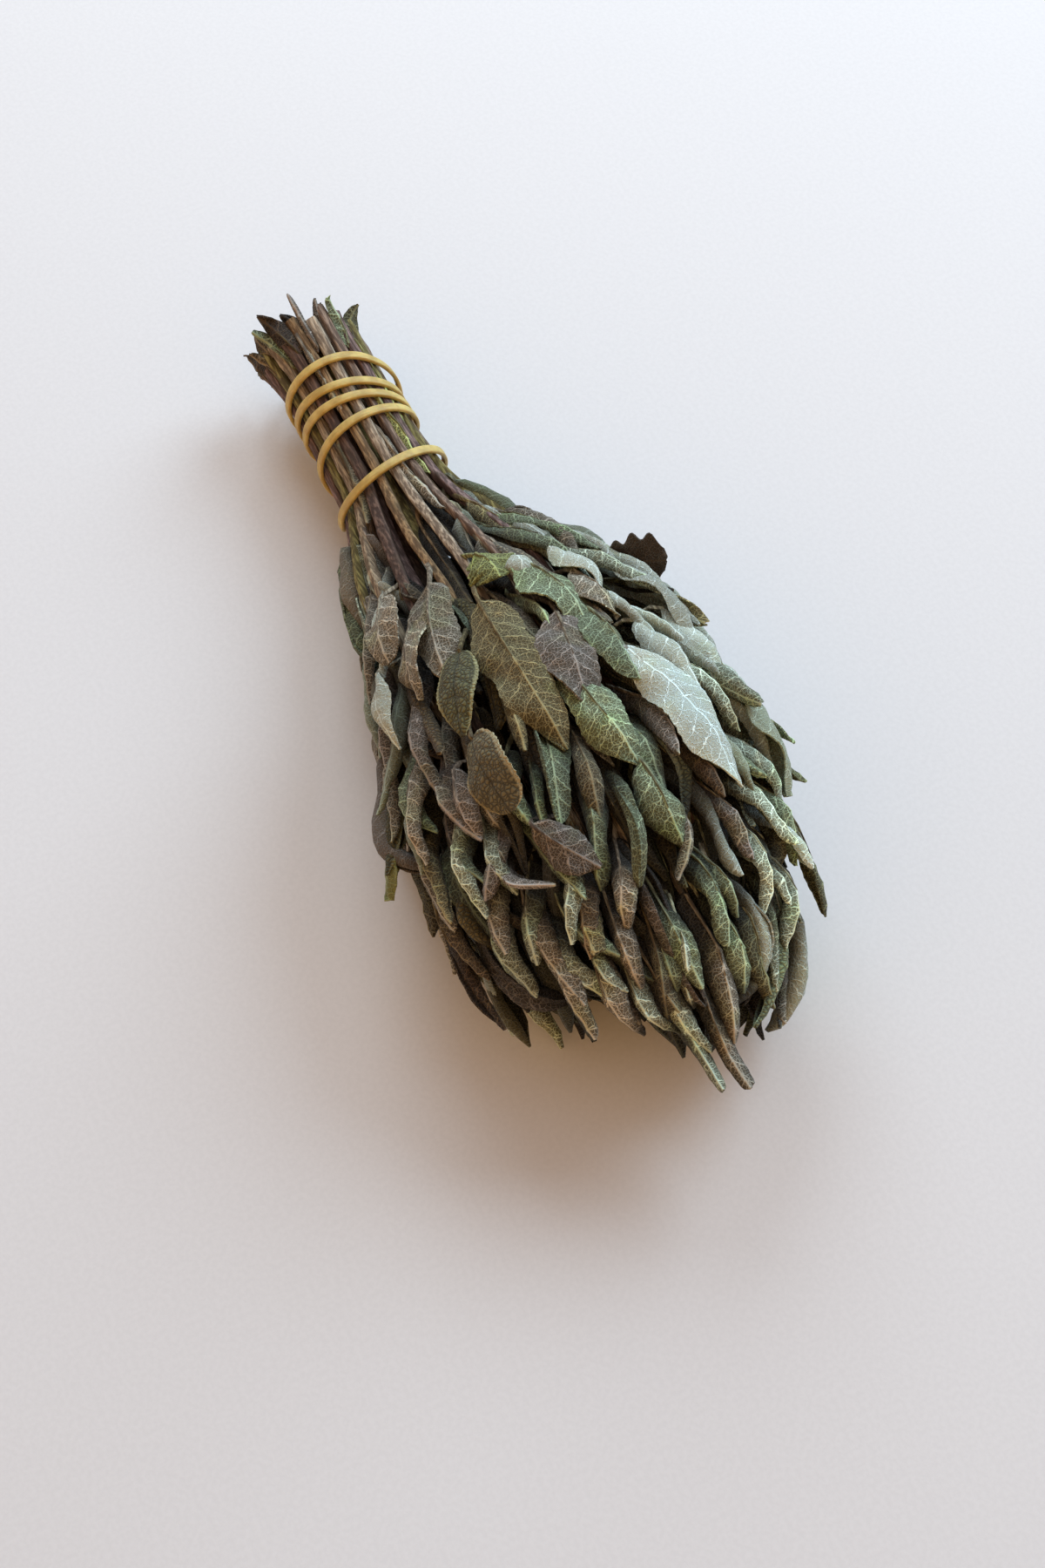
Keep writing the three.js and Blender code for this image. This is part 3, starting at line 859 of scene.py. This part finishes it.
# Leaves that stray from the bunch, each by its stops of (station, share of the radius, degrees):
# a dark toothed leaf, tips that stand out of the head's flanks, torn scraps at the cut ends, and
# slender leaves in the neck.
STRAY_LEAVES = [
    ([(96, 0.86, 12), (102, 0.98, 13), (107, 1.17, 14)], 6, 0.3, 0.5, "umber",
     {"kind": "felted", "teeth": (4.1, 0.17), "shape": (0.6, 0.35), "roll": 0.4}),
    ([(174, 0.95, 24), (187, 1.03, 14), (200, 1.16, 8)], 5, 2.6, 2.6, "olive", {}),
    ([(150, 0.98, 8), (156, 1.05, 6), (162, 1.13, 4)], 3, 0.8, 1.2, "green", {}),
    ([(161, 0.98, 6), (166, 1.04, 4), (171, 1.12, 3)], 2.6, 1.2, 1.2, "olive", {}),
    ([(144, 0.98, 178), (150, 1.04, 180), (156, 1.1, 182)], 3.4, 0.8, 1, "lime",
     {"kind": "felted"}),
    ([(160, 0.9, 172), (172, 0.99, 170), (184, 1, 168)], 6, 2.6, 2.3, "oak", {}),
    ([(13, 0.95, 100), (5, 1, 99), (-5, 1.02, 100)], 2.4, 2.5, 2.5, "mauve", {}),
    ([(14, 0.9, 60), (7, 1, 58), (0, 1.1, 55)], 3.4, 2.2, 1.4, "green", {"sway": 0.8}),
    ([(12, 0.9, 45), (6, 1, 40), (1, 1.15, 33)], 3, 1.2, 2.2, "olive", {"hook": -0.8}),
    ([(13, 0.9, 135), (6, 1.02, 138), (-1, 1.12, 142)], 3.2, 1.8, 2.1, "green", {"hook": -1}),
    ([(12, 0.9, 160), (6, 1, 163), (1, 1.12, 168)], 3, 2.1, 1.6, "oak", {"sway": -0.7}),
    ([(12, 0.8, 80), (5, 0.9, 78), (-1, 1, 76)], 2.8, 2, 2, "mauve", {}),
    ([(12, 0.8, 200), (5, 0.95, 205), (-2, 1.05, 208)], 3, 2, 1.4, "oak", {}),
    ([(12, 0.8, 320), (5, 0.95, 318), (-1, 1.05, 315)], 3, 1.4, 2.2, "bronze", {}),
    ([(10, 0.6, 100), (3, 0.7, 104), (-4, 0.75, 110)], 3, 1.6, 2, "umber", {"sway": 0.6}),
    ([(11, 0.7, 150), (4, 0.9, 152), (-3, 1, 158)], 3.4, 1.4, 1.8, "oak", {"sway": -0.5}),
    ([(10, 0.5, 60), (3, 0.6, 55), (-5, 0.62, 50)], 2.8, 1.8, 1.4, "umber", {}),
    ([(12, 0.95, 120), (5, 1.05, 124), (-3, 1.1, 130)], 3, 1.2, 1.8, "umber", {"hook": -0.5}),
    ([(10, 0.9, 180), (3, 1, 182), (-4, 1.05, 184)], 3.2, 1.6, 1.6, "umber", {}),
    ([(8, 0.4, 20), (1, 0.5, 20), (-6, 0.5, 20)], 3, 1.8, 1.6, "oak", {}),
    ([(9, 0.97, 112), (22, 1, 111), (38, 0.96, 109)], 3, 2.3, 2.1, "taupe", {}),
    ([(30, 0.96, 66), (44, 1, 64), (60, 0.98, 62)], 3.2, 2.1, 2.3, "lime", {}),
    ([(12, 0.96, 50), (26, 1, 48), (42, 0.98, 46)], 3, 2.1, 2.5, "lime", {}),
    ([(40, 0.98, 132), (52, 1.02, 134), (66, 1, 135)], 3.4, 2.2, 2.1, "oak", {}),
    ([(44, 0.96, 84), (58, 1, 83), (74, 0.98, 80)], 3.4, 2.3, 2.2, "taupe", {}),
]


def lie_on_top(start, start_turn, end, end_turn, rolled, lift):
    """The stops of a leaf on top of the head. A rolled one starts farther back and deeper."""
    shares = (0.7, 1.02 + lift, 1.09 + lift) if rolled else (0.97 + lift, 1.06 + lift, 1.04 + lift)
    stations = (start - 7 * rolled, (start + end) / 2, end)
    return list(zip(stations, shares, (start_turn, (start_turn + end_turn) / 2, end_turn)))


# Each of these grows from the nearest outer sprig. Most show their netted underside, and the
# silver ones their felt.
outer_sprigs = [sprig for sprig in sprigs if sprig["ring"]["name"] == "outer"]
for number, (*where, half, left, right, tint, more) in enumerate(TOP_LEAVES + STRAY_LEAVES):
    rng = random.Random(PLACED_SEED + number)
    rolled = abs(left) > ROLLED
    on_top = number < len(TOP_LEAVES)
    loose = 1.0 if on_top else 0.3
    stops = lie_on_top(*where, rolled, more.get("lift", 0.0)) if on_top else where[0]
    foot = math.radians(stops[0][2])
    near = min(outer_sprigs, key=lambda sprig: abs(math.remainder(foot - sprig["angle"], math.tau)))
    leaf = {
        "stops": stops,
        "half": half * (0.7 if rolled else 1.0),
        "curl": [side * rng.uniform(0.72, 1.12) for side in (left, right)],
        "kind": "felted" if tint in ("frost", "silver") else "netted",
        "tint": tint,
        "grid": (38, 19),
        "twist": rng.uniform(-0.7, 0.7),
        "sway": rng.uniform(-0.35, 0.35) * loose,
        "hook": rng.uniform(-0.1, 0.6) * loose,
        "rolled_at": rng.uniform(0.8, 2.2),
        "shape": (0.35, 0.45) if rolled else (0.5, 0.7),
        **more,
    }
    near["leaves"].append((leaf, rng))


def choose_tint(angle, rng):
    """Silver and green leaves are commoner on the +Y flank, and brown ones on the -Y flank: partly
    the leaves' own mix, partly painted light, paler tints on the lit flank and darker on the shaded
    one.
    """
    # Painted light: the lit +Y flank gets paler tints, the shaded -Y flank darker ones.
    toward_lit_flank = 0.5 + 0.5 * math.cos(angle)
    choices = {
        "silver": 0.08 + 2.2 * toward_lit_flank**2,
        "sage": 0.9 + 0.6 * toward_lit_flank,
        "green": 0.7,
        "lime": 0.05,
        "olive": 0.5 - 0.3 * toward_lit_flank,
        "straw": 0.4,
        "taupe": 0.8 - 0.4 * toward_lit_flank,
        "mauve": 0.6 - 0.4 * toward_lit_flank,
        "oak": 0.35 - 0.2 * toward_lit_flank,
        "bronze": 0.4 - 0.3 * toward_lit_flank,
        "umber": 0.18 - 0.1 * toward_lit_flank,
    }
    return rng.choices(list(choices), list(choices.values()))[0]


def choose_habit(rng):
    """How a leaf has dried: its half width, and the curl of its two margins."""
    habit = rng.random()
    if habit < 0.62:  # rolled under into a tube
        return rng.uniform(5.2, 7.4), (rng.uniform(2.5, 3.6), rng.uniform(2.5, 3.6))
    if habit < 0.76:  # rolled upwards
        return rng.uniform(6.4, 8.0), (rng.uniform(-3.8, -3.0), rng.uniform(-3.8, -3.0))
    if habit < 0.9:  # half rolled
        return rng.uniform(5.0, 6.6), (rng.uniform(1.4, 2.4), rng.uniform(1.4, 2.4))
    return rng.uniform(4.0, 5.6), (rng.uniform(0.5, 1.2), rng.uniform(0.5, 1.2))


def farthest_tip(degrees):
    """The station that the leaf tips reach there: less on the -Y side, on which it has lain."""
    uneven = 9 * math.cos(math.radians(degrees - 70))
    return 205 + uneven - 7 * math.cos(math.radians(degrees - 190)) ** 3


def seeded_leaf(sprig, station, hand, rng):
    """A leaf on one side of a sprig, from near a station, that stays near the sprig's own sector.
    Leaves on top start under the placed ones, which are to be seen."""
    ring = sprig["ring"]
    degrees = math.degrees(sprig["angle"])
    on_top = 1 - ease(abs(math.remainder(degrees - 92, 360)), 40, 75)
    start = station + rng.uniform(-2, 3)
    length = min(rng.uniform(28, 42), farthest_tip(degrees) + rng.uniform(-3, 3) - start)
    share = stem_share(ring, start)
    sunk = rng.choice((0.05, 0.32, 0.42)) * on_top
    reach = ring["rim"] * rng.uniform(0.86, 1.03) * (1 - sunk)
    reach *= 1 - 0.16 * (math.cos(sprig["angle"]) < -0.5) * (1 - ease(station, 80, 110))
    lean = hand * 180 / ring["count"] * rng.uniform(-0.7, 2.2)
    half, curl = choose_habit(rng)
    tint = choose_tint(sprig["angle"], rng)
    kind = rng.choices(["netted", "pebbled", "felted"], [0.72, 0.16, 0.12])[0]
    in_view = ring["name"] == "outer" and math.sin(sprig["angle"]) > -0.4
    return {
        "stops": [
            (start, share + 0.03, degrees + hand * 3),
            (start + 0.45 * length, share + 0.8 * (reach - share), degrees + 0.5 * lean),
            (start + 0.97 * length, reach, degrees + lean),
        ],
        "half": half * (1 - 0.2 * on_top),
        "curl": curl,
        "kind": "felted" if tint == "silver" else kind,
        "tint": tint,
        "grid": (22, 13) if in_view else (14, 9),
        "roll": hand * rng.uniform(-0.2, 0.8),
        "twist": rng.uniform(-0.9, 0.9),
        "hook": rng.uniform(-0.3, 0.9),
        "sway": rng.uniform(-0.7, 0.7),
        "shape": (rng.uniform(0.3, 0.5), rng.uniform(0.4, 0.9)),
        "rolled_at": rng.uniform(0.8, 2.2),
    }


# Leaves grow in pairs up each stem, from where its ring comes into leaf, and later on top of the
# neck, which is bare.
for sprig in sprigs:
    rng = random.Random(SPRIG_SEED + sprig["number"])
    ring = sprig["ring"]
    degrees = math.degrees(sprig["angle"])
    bare = 1 - ease(abs(math.remainder(degrees - 103, 360)), 20, 34)
    station = ring["first_leaf"] + rng.uniform(-3, 7)
    station += 32 * bare * (ring["name"] != "inner")
    while station < farthest_tip(degrees) - 24:
        for hand in (-1, 1):
            sprig["leaves"].append((seeded_leaf(sprig, station, hand, rng), rng))
        station += rng.uniform(11.5, 16)
    for leaf, its_rng in sprig["leaves"]:
        grow_leaf(sprig, leaf, its_rng)

for sprig in sprigs:
    made = sprig["growth"].mesh(sprig["node"], [bark, *leaf_skins.values()])
    thick = STEM_THICKNESS * MM
    piece = sweep(sprig["node"] + "_grown", made, thick, thick, 0.5 * MM, bark)
    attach(piece, "root")
    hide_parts(sprig["node"])

# ---- Rubber band ----
# One loop of tan rubber, wound five times round the neck: four turns close together near the cut
# ends and a slack one lower down, from which it comes back underneath, across its other turns.
# The stations where the loop passes the +Y flank and the -Y flank in turn.
BAND_STATIONS = [23.5, 18.5, 29, 24, 33, 29, 36, 39.5, 49.5, LOWEST_TURN]
BAND_WIDTH = 2.2
BAND_STEPS = 600


def band_path():
    """The loop's inner face: where it runs, and the way outwards."""
    count = len(BAND_STATIONS)
    half_turns = np.arange(BAND_STEPS) / BAND_STEPS * count
    around = np.array(BAND_STATIONS[-2:] + BAND_STATIONS * 2, float)[:, None]
    station = smooth(half_turns, np.arange(-2.0, 2 * count), around)[:, 0]
    angle = np.pi * half_turns
    late = np.where(half_turns < 5, half_turns + count, half_turns)
    lift = (BAND_THICKNESS + BAND_GAP) * (ease(late, 9, 9.2) - ease(late, 10, 10.3))
    outward = np.stack([0 * angle, np.cos(angle), np.sin(angle)], -1)
    points = polar(station, 1.0, angle)
    return points + outward * (BAND_GAP + BAND_THICKNESS / 2 + lift)[:, None], outward


def rubber_finish():
    """Old natural rubber: tan, satin, a little dusty, with faint lines along it."""
    material, shader, start = start_finish("tan_rubber")
    place = start.node("ShaderNodeTexCoord", {}, "Object")
    clouds = start.noise(place, 260, 4)
    lines = start.noise(place.scaled((2600, 260, 260)), 1.0, 2)
    surface = clouds.rise(0.35, 0.7).blend((*colour(184, 156, 82), 1), (*colour(214, 190, 112), 1))
    surface = (lines.rise(0.5, 0.8) * 0.4).blend(surface, (*colour(154, 126, 60), 1))
    looks = {
        "Base Color": surface,
        "Roughness": clouds.rise(0.2, 0.9) * 0.25 + 0.42,
        "Subsurface Weight": 0.15,
        "Subsurface Scale": 0.002,
    }
    close_finish(shader, looks, lines + clouds * 0.4, 0.08)
    return material


rubber = rubber_finish()
loop = Growth()
points, outward = band_path()
loop.path(points, 1.0, outward, (1, 1, 1))
loop.edges.append(np.array([[BAND_STEPS - 1, 0]]))  # closes the loop
made = loop.mesh("rubber_band", [])
piece = sweep("wound_band", made, BAND_THICKNESS * MM, BAND_WIDTH * MM, 0.3 * MM, rubber)
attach(piece, "root")
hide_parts("rubber_band")

# ---- Table and light ----
# A matt white table top under two large soft lamps, both bluish: one high on the +Y side and one
# beyond the cut ends. The sky is plain grey there and warm on the other side, so shadows are warm.
table = bpy.data.meshes.new("table")
table.from_pydata([(-3, -3, 0), (3, -3, 0), (3, 3, 0), (-3, 3, 0)], [], [(0, 1, 2, 3)])
top = add_object("table", table)
material, shader, start = start_finish("table_white")
place = start.node("ShaderNodeTexCoord", {}, "Object")
faint = start.noise(place, 900, 3)
surface = faint.rise(0.3, 0.7).blend((*colour(226, 226, 228), 1), (*colour(230, 230, 232), 1))
close_finish(shader, {"Base Color": surface, "Roughness": 0.8}, faint, 0.02)
table.materials.append(material)

world = bpy.data.worlds.new("studio")
bpy.context.scene.world = world
world.use_nodes = True
sky = Value(world.node_tree, None)
seen = sky.node("ShaderNodeTexCoord", {}, "Generated")
away = {0: seen, 1: (0.76, -0.65, 0.0)}
warm_side = seen.node("ShaderNodeVectorMath", away, output="Value", operation="DOT_PRODUCT")
shade = warm_side.rise(-0.5, 0.9).blend((0.35, 0.4, 0.47, 1), (0.82, 0.44, 0.15, 1))
# Only the camera sees the sky as an even pale grey.
to_camera = sky.node("ShaderNodeLightPath", {}, "Is Camera Ray")
shown = to_camera.blend(shade, (0.8, 0.81, 0.83, 1))
background = world.node_tree.nodes["Background"]
world.node_tree.links.new(shown.socket, background.inputs["Color"])
background.inputs["Strength"].default_value = 1.0


def lamp(name, size, watts, place, at, shade):
    """A round soft lamp of that size in metres, at one place and turned towards another."""
    made = add_object(name, bpy.data.lights.new(name, "AREA"))
    made.data.shape = "DISK"
    made.data.size = size
    made.data.energy = watts
    made.data.color = shade
    made.location = place
    made.rotation_euler = (Vector(at) - Vector(place)).to_track_quat("-Z", "Y").to_euler()


lamp("window", 1.0, 16, (-0.4, 1.15, 0.85), (-0.08, 0, 0), (0.68, 0.86, 1.0))
lamp("second_window", 0.8, 10.5, (-1.21, 0.28, 0.8), (-0.5, 0.08, 0), (0.76, 0.9, 1.0))

bpy.context.scene.view_settings.view_transform = "Standard"
